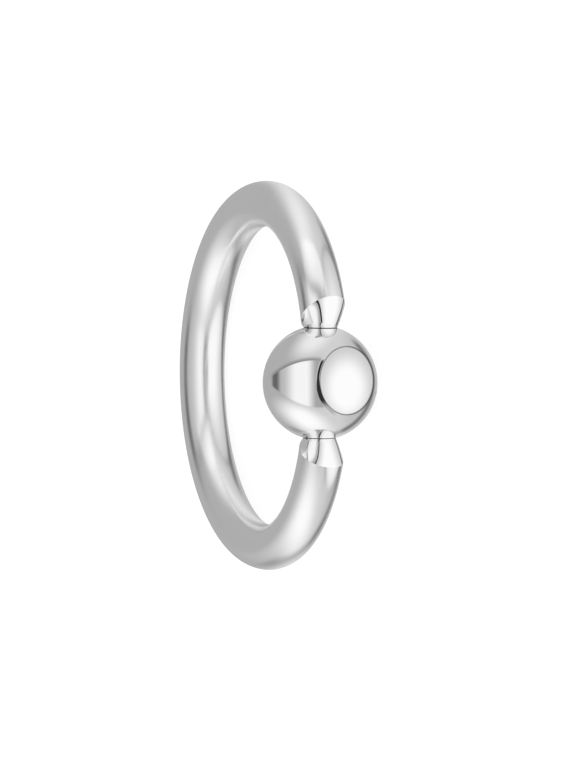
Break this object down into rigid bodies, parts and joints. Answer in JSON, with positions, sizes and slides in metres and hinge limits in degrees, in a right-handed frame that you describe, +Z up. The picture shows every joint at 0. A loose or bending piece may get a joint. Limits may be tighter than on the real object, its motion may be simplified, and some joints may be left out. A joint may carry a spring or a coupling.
{
  "type": "captive bead ring",
  "caption": "Round polished wire ring for a piercing, open at the front, with a loose bead held between its two domed tips.",
  "frame": {"origin": "middle of the outline, on the surface that the ring lies on", "axes": "+Z up from the surface; -Y from the back of the wire towards the bead; +X along the axis on which the bead turns"},
  "size_m": [0.0138, 0.0136, 0.004],
  "materials": {
    "ring_metal": "mirror-polished surgical steel",
    "bead_metal": "mirror-polished surgical steel"
  },
  "bodies": {
    "ring": {"ring_wire": "ring_metal"},
    "bead": {"bead": "bead_metal"}
  },
  "joints": [
    {"name": "bead_spin", "type": "hinge", "parent": "ring", "child": "bead", "pos_m": [0, -0.0048, 0.002], "axis": [1, 0, 0], "continuous": true}
  ]
}
